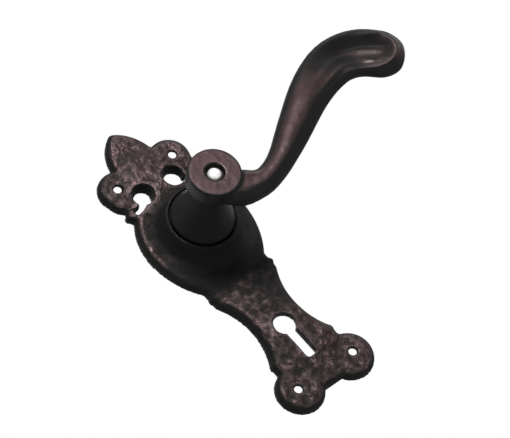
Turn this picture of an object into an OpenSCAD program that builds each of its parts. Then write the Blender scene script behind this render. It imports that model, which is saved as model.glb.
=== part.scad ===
// Sprung lever handle on a fleur-de-lis lock plate.
// The back of the plate lies on the door, in the plane Y = 0, and the face looks along -Y.
// The origin is on the spindle's axis, X runs along the lever and Z points up. Sizes are in mm.

/* [Plate] */
// Thickness of the plate's flat face
plate_t = 4.6; // [4.4:0.1:6]
// Width of the rounded edge, measured inwards from the outline
edge_w = 2.8; // [1.5:0.1:3.2]
// Height of the rounded edge
edge_h = 4; // [2:0.5:4]
// Metal left in front of the hollow back
web_t = 2.2; // [1.6:0.2:3.4]
// Width of the rim that stands on the door
rim_w = 2.6; // [2:0.2:3.4]
// Distance from the spindle down to the keyhole's round end
key_drop = 57; // [50:0.5:60]
// Diameter of the keyhole's round end
key_d = 10; // [9:0.2:13]
// Width of the keyhole's slot
key_slot_w = 5; // [4.6:0.2:8]
// Length of the slot below the centre of the round end
key_slot_len = 18.2; // [14:0.5:20]

/* [Fixing screw holes] */
// Distance across the plate between two holes
screw_across = 31; // [29:0.5:34]
// Height of the upper pair above the spindle
screw_up = 36; // [34:0.5:38]
// Depth of the lower pair below the spindle
screw_down = 84; // [82:0.5:90]
// Diameter of each hole
screw_hole_d = 3.6; // [3.2:0.1:5]
// Diameter of the hollow behind each hole
screw_hollow_d = 10.4; // [9:0.2:12]
// Metal left round each hole in front of its hollow
screw_web_t = 1.6; // [1.4:0.1:2.2]

/* [Ornament] */
// Height of the middle petal from its widest place to its tip
petal_h = 19.2; // [16:0.2:24]
// Width of the middle petal
petal_w = 22.8; // [18:0.2:26]
// Height of the petal's widest place above the upper holes
petal_rise = 5.6; // [3:0.2:8]
// Diameter of the side petals
leaf_d = 19.4; // [17:0.2:22]
// Diameter of the curl below each side petal
curl_d = 15; // [13:0.2:16]
// Diameter of the round end of each comma piercing
comma_d = 10.4; // [7:0.2:11]
// Taper of that end towards the back, on each side
comma_draft = 1.5; // [0:0.1:2]
// Width of the tail of each comma piercing
comma_tail_w = 2.7; // [2:0.1:3]
// Height of the swelling in the middle of the head
crown_rise = 1.6; // [0.4:0.1:2]
// Diameter of the swelling
crown_d = 34; // [30:1:34]
// Diameter of the small beads on the outline
bead_d = 3.6; // [2.6:0.1:4.4]
// Width of the oval body
body_w = 52.4; // [48:0.2:58]
// Radius of the oval's upper sides
body_top_r = 30.5; // [29:0.5:34]
// Radius of the oval's lower sides
body_low_r = 40; // [36:0.5:46]
// Width of the waist at its narrowest
waist_w = 24.6; // [21:0.2:28]
// Radius of the waist's hollow sides
waist_r = 34; // [30:0.5:40]
// Diameter of the lower lobes
lobe_d = 22.2; // [20:0.2:25]
// Height of the plate's straight foot above the lower holes
foot_drop = 6; // [4:0.2:8]

/* [Dome] */
// Height of the dome's lip above the door
lip_h = 16.3; // [15.6:0.1:18]
// Thickness of the lip
lip_t = 1.4; // [1.2:0.1:2]
// Width of the dome's hollow flank
flank_run = 4.4; // [4:0.1:6]
// Width of the valley round the dome's foot
valley_w = 4.2; // [3:0.1:4.6]
// Depth of the valley
valley_depth = 0.7; // [0.3:0.1:1]
// Depth of the cup in the dome below its lip
cup_depth = 2.3; // [1.8:0.1:2.6]
// Thickness of the cup's floor
cup_floor_t = 3.2; // [2.8:0.1:4]

/* [Lever] */
// Reach of the lever from the spindle's axis to its tip
lever_reach = 112.6; // [100:0.2:125]
// Height of the boss's face above the door
boss_top = 51.8; // [48:0.2:56]
// Thickness of the boss
boss_t = 9.5; // [8:0.1:11]
// Diameter of the boss
boss_d = 23.2; // [20:0.2:25]
// Diameter of the neck under the boss
neck_d = 15.6; // [14:0.2:17]
// Diameter of the bell at the neck's foot
bell_d = 28; // [27.4:0.1:29]
// Height of the bell's straight edge
bell_edge = 1.6; // [1:0.1:2.5]
// Diameter of the journal that turns in the bush
journal_d = 18; // [17.6:0.1:18.4]
// Thickness of the arm
arm_t = 10; // [8:0.2:11]
// Depth of the scoop in the arm's end
scoop_depth = 3.6; // [0:0.1:4]
// Height of the ridges along the scoop
scoop_ridge = 0.9; // [0:0.1:1.5]
// Step from the boss's face down to the arm's root
root_step = 0.7; // [0.2:0.1:2]

/* [Spindle] */
// Width across the flats of the square spindle
spindle_w = 8; // [7:0.1:8.2]
// Length of the spindle behind the door's face
spindle_reach = 32; // [20:1:60]
// Diameter of the riveted nose
nose_d = 6; // [5:0.1:6.4]
// Diameter of the recess round the nose
recess_d = 8.6; // [7.6:0.1:9.6]
// Depth of the recess
recess_depth = 2.4; // [1.5:0.1:4]

/* [Spring case] */
// Diameter of the spring's wire
wire_d = 1.4; // [1.2:0.1:1.5]
// Number of turns of the spring
spring_turns = 1.75; // [0.75:1:1.75]
// Angle that the lever turns through
travel = 45; // [30:1:50]
// Thickness of the cam
cam_t = 1.7; // [1.2:0.1:2]
// Diameter of the stop pins
stop_d = 2.4; // [2:0.1:2.6]
// Thickness of the cover
cover_t = 1.4; // [1.2:0.1:1.6]
// Diameter of the cover's screws
cover_screw_d = 2.5; // [2:0.1:3]

/* [Fits] */
// Radial clearance of the journal in the bush
run_clear = 0.05; // [0.02:0.01:0.1]
// Clearance all round between pieces that are assembled and stay still
seat_clear = 0.05; // [0.02:0.01:0.1]
// Clearance between pieces that pass each other
free_clear = 0.3; // [0.2:0.05:0.4]
// Gap between the bell and the lip
bell_gap = 0.6; // [0.4:0.05:1]

/* [Hidden] */
$fn = 96;
eps = 0.01;
past = 1;
edge_step = 22.5;

// Places on the plate, as x and z
screw_x = screw_across / 2;
petal_z = screw_up + petal_rise;
leaf_at = [screw_x - 1.2, screw_up];
curl_at = [screw_x + 0.1, screw_up - 3.8];
comma_at = [8.6, screw_up - 8.9];
comma_tail_at = [curl_at[0], curl_at[1] - 0.9];
crown_z = screw_up - 6;
tie_at = [screw_x + 2.4, screw_up - 11];
collar_bead_at = [body_w / 2 - 6.6, screw_up - 13.3];
collar_at = [body_w / 2 - 9, screw_up - 14];
tie_d = 3.8;
lower_bead_d = bead_d + 1.2;
collar_d = 6.4;
lobe_at = [screw_x - 1.5, -screw_down];
foot_z = -screw_down - foot_drop;
waist_z = 6.5 - key_drop;
waist_x = waist_w / 2 + waist_r;
body_z = 0.5;
bead_inset = bead_d / 2 + 0.05;
upper_bead_z = waist_z + 21.1;
lower_bead_z = waist_z - 18.9;
tail_w = 2 * 17.2;
hollow_top_z = waist_z + 18;
head_hollow_z = comma_at[1] + comma_d / 2 + 2;
hollow_t = plate_t - web_t;
hole_chamfer = 0.5;

// Levels above the door, from the back to the front
cover_back = 0.3;
cover_front = cover_back + cover_t;
clip_t = 0.8;
clip_back = cover_front + free_clear;
washer_back = clip_back + clip_t;
washer_t = 0.7;
cam_back = washer_back + washer_t;
cam_front = cam_back + cam_t;
hub_back = cam_front + 0.2;
case_step = cam_front + 0.4;
cup_floor = lip_h - cup_depth;
case_top = cup_floor - cup_floor_t;
flange_t = 0.8;
thrust_t = 0.5;
thrust_back = cup_floor + flange_t;
bell_back = thrust_back + thrust_t + 0.1;
boss_back = boss_top - boss_t;
tail_back = cover_back + 0.3;

// Radii about the spindle's axis
bell_r = bell_d / 2;
cup_r = bell_r + bell_gap;
lip_r = cup_r + lip_t;
foot_r = lip_r + flank_run;
journal_r = journal_d / 2;
bush_wall = 1.95;
bush_r = journal_r + run_clear + bush_wall;
hub_r = bush_r + 1.6;
spring_r = hub_r + 0.5 + wire_d / 2;
case_r = spring_r + wire_d / 2 + 0.5;
stop_r = case_r + stop_d / 2;
wide_case_r = stop_r + stop_d / 2 + 0.4;
cover_r = wide_case_r + 1.4;
ear_at_r = cover_r + 2.1;
ear_r = 3;
tail_r = journal_r - 2.1;
groove_r = tail_r - 0.7;
cam_square = 2 * tail_r + 0.2;
cam_r = hub_r + 0.2;
lug_r = wide_case_r - 0.4;
cam_ear_r = 2;
lug_half = 10;
lug_rest = 90 + travel / 2;
stop_half = asin((stop_d / 2 + free_clear) / stop_r) + lug_half;
leg_angle = 270;
leg_pitch = (case_top - case_step - wire_d - 0.4) / spring_turns;
ear_angles = [30, 150, 270];

// Lifts x, z and height above the door into the part's frame
module on_door() {
    rotate([90, 0, 0]) children();
}

// Draws its children on both sides of the plate's centre line
module both_sides() {
    children();
    mirror([1, 0, 0]) children();
}

// Quarter round from the side, at the radius r, up to the face
function round_edge(r, w, rise, face) =
    [for (a = [0:edge_step:90]) [r - w + w * cos(a), face - rise + rise * sin(a)]];

// Shallow swelling of the face, a cap of a ball
module crown() {
    r = crown_d / 2;
    ball_r = (r * r + crown_rise * crown_rise) / (2 * crown_rise);
    first = asin(r / ball_r);
    cap = [for (a = [first:-first / 6:eps]) [ball_r * sin(a), plate_t + crown_rise - ball_r * (1 - cos(a))]];
    rotate_extrude() polygon(concat([[0, plate_t - 1], [r, plate_t - 1]], cap, [[0, plate_t + crown_rise]]));
}

// Round piece of the plate with its rounded edge
module pad(r) {
    w = min(edge_w, 0.8 * r);
    rotate_extrude() polygon(concat([[0, 0], [r, 0]], round_edge(r, w, edge_h, plate_t), [[0, plate_t]]));
}

// Cutter whose side leaves a rounded edge on what stays
module scallop(r) {
    edge = [for (a = [0:edge_step:90]) [r + edge_w - edge_w * cos(a), plate_t - edge_h + edge_h * sin(a)]];
    rotate_extrude()
        polygon(concat([[0, -past], [r, -past]], edge, [[r + edge_w, plate_t + past], [0, plate_t + past]]));
}

// Pointed oval of two round pieces that cross
module pointed_oval(half_w, r) {
    intersection() {
        translate([half_w - r, 0, 0]) pad(r);
        translate([r - half_w, 0, 0]) pad(r);
    }
}

function oval_r(half_len, half_w) = (half_len * half_len + half_w * half_w) / (2 * half_w);

module petal() {
    translate([0, petal_z, 0]) pointed_oval(petal_w / 2, oval_r(petal_h, petal_w / 2));
}

module body_oval() {
    reach = body_w;
    translate([0, body_z, 0]) {
        intersection() {
            pointed_oval(body_w / 2, body_top_r);
            translate([-reach, 0, 0]) cube([2 * reach, reach, plate_t]);
        }
        intersection() {
            pointed_oval(body_w / 2, body_low_r);
            translate([-reach, -reach, 0]) cube([2 * reach, reach + eps, plate_t]);
        }
    }
}

// Tail of the plate, from inside the body down to the straight foot
module tail() {
    foot = [for (p = round_edge(-foot_z, edge_w, edge_h, plate_t)) [-p[0], p[1]]];
    side = round_edge(tail_w / 2, edge_w, edge_h, plate_t);
    top_z = upper_bead_z + 5;
    difference() {
        intersection() {
            rotate([90, 0, 90])
                linear_extrude(tail_w + 2 * past, center = true)
                    polygon(concat([[top_z, 0], [foot_z, 0]], foot, [[top_z, plate_t]]));
            rotate([-90, 0, 0])
                both_sides()
                    mirror([0, 1, 0])
                        translate([0, 0, foot_z - past])
                            linear_extrude(top_z - foot_z + 2 * past)
                                polygon(concat([[-eps, 0], [tail_w / 2, 0]], side, [[-eps, plate_t]]));
        }
        both_sides() translate([waist_x, waist_z, 0]) scallop(waist_r);
    }
}

module plate_form() {
    petal();
    body_oval();
    tail();
    both_sides() {
        translate(leaf_at) pad(leaf_d / 2);
        translate(curl_at) pad(curl_d / 2);
        translate(tie_at) pad(tie_d / 2);
        translate(lobe_at) pad(lobe_d / 2);
        translate(collar_bead_at) pad(bead_d / 2);
        translate(collar_at) pad(collar_d / 2);
        translate([tail_w / 2 + 0.8 - bead_inset, upper_bead_z]) pad(bead_d / 2);
        translate([tail_w / 2 + 0.4 - lower_bead_d / 2, lower_bead_z]) pad(lower_bead_d / 2);
    }
}

// Comma-shaped piercing: a tapered round end with a tail along the side petal's curl
module comma() {
    depth = plate_t + crown_rise;
    slope = comma_draft / depth;
    back_d = comma_d - 2 * slope * (depth + past);
    front_d = comma_d + 2 * slope * past;
    translate([comma_at[0], comma_at[1], -past]) cylinder(d1 = back_d, d2 = front_d, h = depth + 2 * past);
    translate([0, 0, -past]) linear_extrude(depth + 2 * past) comma_tail_2d();
}

module comma_tail_2d() {
    tail_in = curl_d / 2;
    tail_out = tail_in + comma_tail_w;
    translate(comma_tail_at)
        intersection() {
            difference() {
                circle(tail_out);
                circle(tail_in);
            }
            polygon([[0, 0], 2 * tail_out * [cos(-150), sin(-150)], [-tail_in, -2 * tail_out],
                     2 * tail_out * [cos(-83), sin(-83)]]);
        }
}

module keyhole_2d() {
    corner = key_slot_w / 4;
    translate([0, -key_drop]) {
        circle(d = key_d);
        translate([-key_slot_w / 2, -key_slot_len + corner]) square([key_slot_w, key_slot_len - corner]);
        translate([-key_slot_w / 2 + corner, -key_slot_len]) square([key_slot_w - 2 * corner, 2 * corner]);
        both_sides() translate([key_slot_w / 2 - corner, -key_slot_len + corner]) circle(corner);
    }
}

// Hollow in the back of the tail and the lower lobes
module tail_hollow_2d() {
    difference() {
        union() {
            translate([-tail_w / 2 + rim_w, foot_z + rim_w])
                square([tail_w - 2 * rim_w, hollow_top_z - foot_z - rim_w]);
            both_sides() translate(lobe_at) circle(lobe_d / 2 - rim_w);
        }
        both_sides() translate([waist_x, waist_z]) circle(waist_r + rim_w);
    }
}

// Hollow in the back of the middle petal
module head_hollow_2d() {
    half_w = petal_w / 2;
    r = oval_r(petal_h, half_w);
    intersection() {
        translate([half_w - r, petal_z]) circle(r - rim_w);
        translate([r - half_w, petal_z]) circle(r - rim_w);
        translate([-petal_w, head_hollow_z]) square([2 * petal_w, 2 * petal_h]);
    }
}

// Hollow flank, lip and cup of the dome, as one turned shape
module dome() {
    flank_base = plate_t - 0.6;
    lip_base = lip_h - lip_t / 2;
    rise = lip_base - flank_base;
    flank = [for (a = [0:15:90]) [foot_r - flank_run * sin(a), lip_base - rise * cos(a)]];
    lip = [for (a = [0:45:180]) [lip_r - lip_t / 2 + lip_t / 2 * cos(a), lip_base + lip_t / 2 * sin(a)]];
    rotate_extrude()
        polygon(concat([[0, 0], [foot_r, 0]], flank, lip, [[cup_r, cup_floor], [0, cup_floor]]));
}

// Valley round the foot of the dome, which overlaps its inner side
module valley() {
    overlap = 0.4;
    mid_r = foot_r + valley_w / 2 - overlap;
    arc = [for (a = [180:30:360]) [mid_r + valley_w / 2 * cos(a), plate_t + valley_depth * sin(a)]];
    inner = [mid_r - valley_w / 2, plate_t + past];
    outer = [mid_r + valley_w / 2, plate_t + past];
    rotate_extrude() polygon(concat([inner], arc, [outer]));
}

// Room for the spring, the cam, the clip and the cover
module spring_case() {
    translate([0, 0, -past]) cylinder(r = wide_case_r, h = case_step + past);
    difference() {
        cylinder(r = case_r, h = case_top);
        translate([0, 0, hub_back]) cylinder(r = hub_r, h = case_top);
    }
    translate([0, 0, -past]) cylinder(r = bush_r, h = lip_h + 2 * past);
    translate([0, 0, -past]) cover_blank(seat_clear * 4, cover_front + past);
    leg_hole(leg_angle - 360 * spring_turns) cylinder(d = wire_d + 4 * seat_clear, h = case_top + 1.6);
    for (a = [lug_rest + stop_half, lug_rest - travel - stop_half])
        rotate(a) translate([stop_r, 0, 0]) cylinder(d = stop_d, h = stop_top());
    for (a = ear_angles)
        rotate(a) translate([ear_at_r, 0, 0]) cylinder(d = cover_screw_d, h = cover_screw_top() + 0.3);
}

function stop_top() = case_step + 1.5;
function cover_screw_top() = plate_t - 1.9;

module leg_hole(a) {
    rotate(a) translate([spring_r, 0, 0]) children();
}

module backplate() {
    color("dimgray") on_door()
        difference() {
            union() {
                difference() {
                    plate_form();
                    valley();
                }
                translate([0, crown_z, 0]) crown();
                dome();
            }
            spring_case();
            translate([0, 0, -past]) linear_extrude(hollow_t + past) tail_hollow_2d();
            translate([0, 0, -past]) linear_extrude(hollow_t + past) head_hollow_2d();
            both_sides() comma();
            translate([0, 0, -past]) linear_extrude(plate_t + 2 * past) keyhole_2d();
            for (z = [screw_up, -screw_down])
                both_sides() translate([screw_x, z, 0]) screw_hole();
        }
}

// Screw hole with a chamfer in front and a hollow behind
module screw_hole() {
    translate([0, 0, -past]) cylinder(d = screw_hole_d, h = plate_t + 2 * past);
    translate([0, 0, -past]) cylinder(d = screw_hollow_d, h = plate_t - screw_web_t + past);
    translate([0, 0, plate_t - hole_chamfer])
        cylinder(d1 = screw_hole_d, d2 = screw_hole_d + 4 * hole_chamfer, h = 2 * hole_chamfer);
}

// Flanged bush pressed into the dome's hub
module neck_bush() {
    color("darkgoldenrod") on_door()
        difference() {
            union() {
                translate([0, 0, hub_back + 0.2]) cylinder(r = bush_r, h = cup_floor - hub_back - 0.2);
                translate([0, 0, cup_floor]) cylinder(r = bush_r + 2, h = flange_t);
            }
            cylinder(r = journal_r + run_clear, h = lip_h);
        }
}

module thrust_washer() {
    color("whitesmoke") on_door()
        translate([0, 0, thrust_back])
            difference() {
                cylinder(r = bush_r + 1.8, h = thrust_t);
                translate([0, 0, -past]) cylinder(r = journal_r + free_clear, h = thrust_t + 2 * past);
            }
}

// Bell, neck and boss, turned about the spindle's axis
module neck_and_boss() {
    bell_top = bell_back + bell_edge;
    soft = 0.8;
    neck_r = neck_d / 2;
    neck = [for (s = [0:1 / 14:1 - eps]) [neck_r + (bell_r - neck_r) * (1 - s) * (1 - s),
                                         bell_top + (boss_back - bell_top) * s]];
    under = [for (a = [-90:30:0]) [boss_d / 2 - 2 * soft + 2 * soft * cos(a),
                                  boss_back + 2 * soft + 2 * soft * sin(a)]];
    rotate_extrude()
        polygon(concat([[0, bell_back], [bell_r - 0.4, bell_back], [bell_r, bell_back + 0.4]], neck,
                       [[neck_r, boss_back - 1.2], [neck_r + 0.6, boss_back]], under,
                       round_edge(boss_d / 2, soft / 2, soft / 2, boss_top), [[0, boss_top]]));
}

// Journal, square and tail of the lever, behind its bell
module shank() {
    translate([0, 0, cam_front]) cylinder(r = journal_r, h = bell_back - cam_front + eps);
    intersection() {
        translate([0, 0, cam_back]) cylinder(r = journal_r, h = cam_t + eps);
        translate([0, 0, cam_front - cam_t / 2]) cube([cam_square, cam_square, 2 * cam_t], center = true);
    }
    translate([0, 0, tail_back]) cylinder(r = tail_r, h = cam_front - tail_back);
}

// Stations of the arm: x, z and half width, chosen by eye along the S
arm_stations = [
    [0, -6, 6], [7, -10.2, 8.2], [15.3, -13.2, 6.2], [22.8, -12.2, 5.7], [30.9, -8.9, 6.1],
    [40.3, -3.7, 7.2], [50.2, 2.1, 8.2], [60.4, 7.9, 9.1], [70.4, 12.2, 10], [80.4, 14.7, 10.8],
    [88.8, 14.1, 11.5], [95.5, 11.3, 12], [100.9, 6.9, 12], [105.2, 3, 12], [109.3, -0.9, 12]
];
arm_root_x = 15.3;
arm_drawn_reach = 112.6;
arm_stretch = (lever_reach - arm_root_x) / (arm_drawn_reach - arm_root_x);
arm_last = len(arm_stations) - 1;
arm_steps = 3;
arm_rings = (arm_last - 1) * arm_steps;
arm_sides = 28;
cap_start = arm_last - 2;
scoop_start = 6.5;
scoop_full = 10;
scoop_rise = 9.5;
scoop_share = 0.82;
scoop_tip_share = 0.75;
scoop_tilt = 0.2;
ridge_u = [-0.6, -4.6];
ridge_half_w = 2.2;

function clamp01(v) = max(0, min(1, v));
function soft_step(v) = clamp01(v) * clamp01(v) * (3 - 2 * clamp01(v));
function signed_power(v, e) = v == 0 ? 0 : sign(v) * pow(abs(v), e);
function stretched(p) =
    [p[0] <= arm_root_x ? p[0] : arm_root_x + (p[0] - arm_root_x) * arm_stretch, p[1], p[2]];
function station(i) = stretched(arm_stations[max(0, min(arm_last, i))]);

// Smooth curve through the stations
function along(s) =
    let (i = min(floor(s), arm_last - 1), t = s - i,
         a = station(i - 1), b = station(i), c = station(i + 1), d = station(i + 2))
    0.5 * ((2 * b) + (c - a) * t + (2 * a - 5 * b + 4 * c - d) * t * t
           + (3 * b - a - 3 * c + d) * t * t * t);
function heading(s) =
    let (a = along(max(0, s - 0.02)), b = along(min(arm_last, s + 0.02)), v = [b[0] - a[0], b[1] - a[1]])
    v / norm(v);

// Place in the rounded end, from 0 at its start to 1 at the tip, and the share of width left there
function cap_place(s) = clamp01((s - cap_start) / (arm_last - cap_start));
function cap_share(s) = sqrt(1 - pow(cap_place(s), 2));

// Scoop in the front of the arm: hollow between the rims, deeper on its upper side,
// rising to the tip, with two ridges along it
function scoop_place(s) = clamp01((s - scoop_rise) / (arm_last - scoop_rise));
function scoop(u, half_w, s) =
    let (share = soft_step((s - scoop_start) / (scoop_full - scoop_start)),
         bowl = max(0, 1 - pow(u / half_w / scoop_share, 2) - pow(scoop_place(s) / scoop_tip_share, 2)),
         tilt = 1 + scoop_tilt * (2 * soft_step(u / half_w + 0.5) - 1),
         crest = max([for (c = ridge_u) max(0, 1 - pow((u - c) / ridge_half_w, 2))]) * min(1, 2 * bowl))
    share * (scoop_depth * tilt * bowl - scoop_ridge * crest);

// One ring of points round the arm at the place s along it
function arm_ring(s) =
    let (p = along(s), dir = heading(s), side = [-dir[1], dir[0]], cap = cap_share(s),
         w = max(0.3, p[2] * cap), t = arm_t / 2 * max(0.12, pow(cap, 0.6)),
         e = 0.75 + 0.2 * soft_step(s / 3), mid = boss_top - root_step - arm_t / 2)
    [for (i = [0:arm_sides - 1])
        let (a = 360 * i / arm_sides, u = w * signed_power(cos(a), e), v = t * signed_power(sin(a), e))
        [p[0] + side[0] * u, p[1] + side[1] * u, mid + v - (v > 0 ? scoop(u, p[2], s) : 0)]];

module arm() {
    places = concat([for (k = [0:arm_rings - 1]) k / arm_steps],
                    [for (v = [0:0.1:0.9]) arm_last - 1 + v], [arm_last - 0.04, arm_last - 0.01]);
    rings = [for (s = places) arm_ring(s)];
    count = len(rings);
    quads = [for (k = [0:count - 2]) for (i = [0:arm_sides - 1])
        let (j = (i + 1) % arm_sides, a = k * arm_sides)
        each [[a + j, a + i, a + arm_sides + i], [a + j, a + arm_sides + i, a + arm_sides + j]]];
    first = [for (i = [0:arm_sides - 1]) i];
    last = [for (i = [arm_sides - 1:-1:0]) (count - 1) * arm_sides + i];
    polyhedron(points = [for (r = rings) each r], faces = concat(quads, [first], [last]));
}

module lever_handle() {
    color("dimgray") on_door()
        difference() {
            union() {
                neck_and_boss();
                shank();
                arm();
            }
            translate([0, 0, spindle_front() / 2 - past])
                cube([spindle_w + 2 * seat_clear, spindle_w + 2 * seat_clear, spindle_front() + 2 * past],
                     center = true);
            cylinder(d = nose_d + 2 * seat_clear, h = boss_top + past);
            translate([0, 0, boss_top - recess_depth]) cylinder(d = recess_d, h = recess_depth + past);
            translate([0, 0, clip_back])
                difference() {
                    cylinder(r = journal_r, h = clip_t);
                    cylinder(r = groove_r, h = clip_t);
                }
        }
}

function spindle_front() = boss_back;

// Square bar with a round nose that is riveted over in the boss
module spindle() {
    nose_top = boss_top - 0.2;
    dome_h = 1.8;
    dome = [for (a = [0:15:90]) [nose_d / 2 * cos(a), nose_top - dome_h + dome_h * sin(a)]];
    color("silver") on_door() {
        translate([-spindle_w / 2, -spindle_w / 2, -spindle_reach])
            cube([spindle_w, spindle_w, spindle_reach + spindle_front() - 0.2]);
        rotate_extrude()
            polygon(concat([[0, spindle_front() - 0.3], [nose_d / 2, spindle_front() - 0.3]], dome));
    }
}

// Cam on the lever's square, with a stop lug and an ear for the spring's leg
module drive_cam() {
    hole = cam_square + 2 * seat_clear;
    color("slategray") on_door()
        translate([0, 0, cam_back])
            difference() {
                union() {
                    cylinder(r = cam_r, h = cam_t);
                    rotate(lug_rest) sector(lug_r, lug_half, cam_t);
                    leg_hole(leg_angle) cylinder(r = cam_ear_r, h = cam_t);
                }
                intersection() {
                    translate([0, 0, -past]) cylinder(r = journal_r + seat_clear, h = cam_t + 2 * past);
                    cube([hole, hole, 4 * cam_t], center = true);
                }
                leg_hole(leg_angle)
                    translate([0, 0, -past]) cylinder(d = wire_d + 4 * seat_clear, h = cam_t + 2 * past);
            }
}

module sector(r, half, h) {
    linear_extrude(h)
        intersection() {
            circle(r);
            polygon([[0, 0], 2 * r * [cos(half), -sin(half)], 2 * r * [cos(half), sin(half)]]);
        }
}

// Torsion spring round the hub, with one leg in the dome and one in the cam
module return_spring() {
    sides = 8;
    low = case_step + wire_d / 2 + 0.2;
    turn = 360 * spring_turns;
    steps = ceil(turn / 15);
    fixed_end = case_top + 1.4;
    moving_end = cam_back + 0.2;
    start = leg_angle - turn;
    coil = [for (k = [0:steps])
        let (a = leg_angle - turn * k / steps)
        [spring_r * cos(a), spring_r * sin(a), low + leg_pitch * spring_turns * k / steps]];
    route = concat([[spring_r * cos(leg_angle), spring_r * sin(leg_angle), moving_end]], coil,
                   [[spring_r * cos(start), spring_r * sin(start), fixed_end]]);
    color("gainsboro") on_door() wire_tube(route, wire_d / 2, sides);
}

// Round tube swept along a route about the spindle's axis
module wire_tube(route, r, sides) {
    last = len(route) - 1;
    rings = [for (k = [0:last])
        let (a = route[max(0, k - 1)], b = route[min(last, k + 1)], dir = (b - a) / norm(b - a),
             out = [route[k][0], route[k][1], 0] / norm([route[k][0], route[k][1]]),
             other = cross(dir, out) / norm(cross(dir, out)), real_out = cross(other, dir))
        [for (i = [0:sides - 1])
            route[k] + r * (cos(360 * i / sides) * real_out + sin(360 * i / sides) * other)]];
    quads = [for (k = [0:last - 1]) for (i = [0:sides - 1])
        let (j = (i + 1) % sides, a = k * sides)
        each [[a + j, a + i, a + sides + i], [a + j, a + sides + i, a + sides + j]]];
    first = [for (i = [0:sides - 1]) i];
    end = [for (i = [sides - 1:-1:0]) last * sides + i];
    polyhedron(points = [for (g = rings) each g], faces = concat(quads, [first], [end]));
}

module retaining_washer() {
    color("silver") on_door()
        translate([0, 0, washer_back])
            difference() {
                cylinder(r = journal_r + 0.6, h = washer_t);
                translate([0, 0, -past]) cylinder(r = tail_r + seat_clear, h = washer_t + 2 * past);
            }
}

// Spring clip in the tail's groove, open on one side
module circlip() {
    ring_r = tail_r + 1.4;
    color("darkslategray") on_door()
        translate([0, 0, clip_back + 0.05])
            difference() {
                cylinder(r = ring_r, h = clip_t - 0.1);
                translate([0, 0, -past]) cylinder(r = groove_r + seat_clear, h = clip_t + 2 * past);
                translate([0, 0, -past]) sector(2 * ring_r, 25, clip_t + 2 * past);
            }
}

module stop_pin(a) {
    color("lightgray") on_door()
        rotate(a) translate([stop_r, 0, cam_back]) cylinder(d = stop_d, h = stop_top() - cam_back);
}

module rest_stop_pin() {
    stop_pin(lug_rest + stop_half);
}

module travel_stop_pin() {
    stop_pin(lug_rest - travel - stop_half);
}

// Outline of the cover with its screw ears, and a clearance all round
module cover_blank(clear, h) {
    cylinder(r = cover_r + clear, h = h);
    for (a = ear_angles)
        rotate(a) translate([ear_at_r, 0, 0]) cylinder(r = ear_r + clear, h = h);
}

module spring_cover() {
    color("gray") on_door()
        translate([0, 0, cover_back])
            difference() {
                cover_blank(0, cover_t);
                translate([0, 0, -past]) cylinder(r = tail_r + free_clear + 0.1, h = cover_t + 2 * past);
                for (a = ear_angles)
                    rotate(a) translate([ear_at_r, 0, 0]) countersink(seat_clear, cover_t);
            }
}

// Countersunk hole of a cover screw, with its wide end at the back
module countersink(clear, depth) {
    r = cover_screw_d / 2 + clear;
    translate([0, 0, -past]) cylinder(r = r, h = depth + 2 * past);
    translate([0, 0, -eps]) cylinder(r1 = r + 1, r2 = r, h = 1 + eps);
}

module cover_screws() {
    r = cover_screw_d / 2;
    slot_w = 0.5;
    color("silver") on_door()
        for (a = ear_angles)
            rotate(a) translate([ear_at_r, 0, cover_back])
                difference() {
                    union() {
                        cylinder(r1 = r + 1, r2 = r, h = 1);
                        cylinder(r = r, h = cover_screw_top() - cover_back);
                    }
                    translate([-2 * r, -slot_w / 2, -past]) cube([4 * r, slot_w, past + 0.4]);
                }
}

backplate();
neck_bush();
thrust_washer();
lever_handle();
spindle();
drive_cam();
return_spring();
retaining_washer();
circlip();
rest_stop_pin();
travel_stop_pin();
spring_cover();
cover_screws();
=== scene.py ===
"""Looks of a sprung lever handle on its cast lock plate: skins, finishes, light and camera."""

import logging
import math
from dataclasses import dataclass, field
from enum import Enum
from typing import Any

import bpy
import numpy as np
from mathutils import Matrix, Vector


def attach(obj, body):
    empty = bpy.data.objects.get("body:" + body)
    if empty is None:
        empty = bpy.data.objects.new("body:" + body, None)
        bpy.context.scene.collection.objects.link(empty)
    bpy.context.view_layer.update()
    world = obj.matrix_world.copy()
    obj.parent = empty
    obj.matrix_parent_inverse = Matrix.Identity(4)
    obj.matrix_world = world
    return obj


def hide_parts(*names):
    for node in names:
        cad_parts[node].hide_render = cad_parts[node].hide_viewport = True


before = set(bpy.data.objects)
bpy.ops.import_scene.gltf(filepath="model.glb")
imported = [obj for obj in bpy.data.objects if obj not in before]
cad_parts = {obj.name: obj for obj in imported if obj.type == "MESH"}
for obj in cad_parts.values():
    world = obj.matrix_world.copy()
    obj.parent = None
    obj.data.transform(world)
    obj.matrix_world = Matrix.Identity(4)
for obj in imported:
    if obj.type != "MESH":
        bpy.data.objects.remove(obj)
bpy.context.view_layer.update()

MM = 0.001
WELD = 1e-6
LOG = logging.getLogger("lever_handle")

Colour = tuple[float, float, float]
Row = tuple[float, float, float]
Place = tuple[float, float]
Span = tuple[float, float]
Points = np.ndarray
Weights = np.ndarray


# Meshes


def smooth_between(low: float, high: float, values: Points) -> Weights:
    """Smooth ramp over an array.

    Args:
        low: Value at which the ramp is 0.
        high: Value at which the ramp is 1. It may be the smaller of the two.
        values: Values to read.

    Returns:
        Weights from 0 to 1.
    """
    share = np.clip((values - low) / (high - low), 0.0, 1.0)
    return share * share * (3.0 - 2.0 * share)


def bell_curve(gap: Points, half_width: float) -> Weights:
    """Weights that are 1 where the gap is 0 and fall off over about the half width."""
    return np.exp(-((gap / half_width) ** 2))


def only_active(obj: bpy.types.Object) -> None:
    """Deselects all and makes one object selected and active.

    Args:
        obj: Object that the next operator works on.
    """
    bpy.ops.object.select_all(action="DESELECT")
    obj.select_set(True)
    bpy.context.view_layer.objects.active = obj


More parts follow.
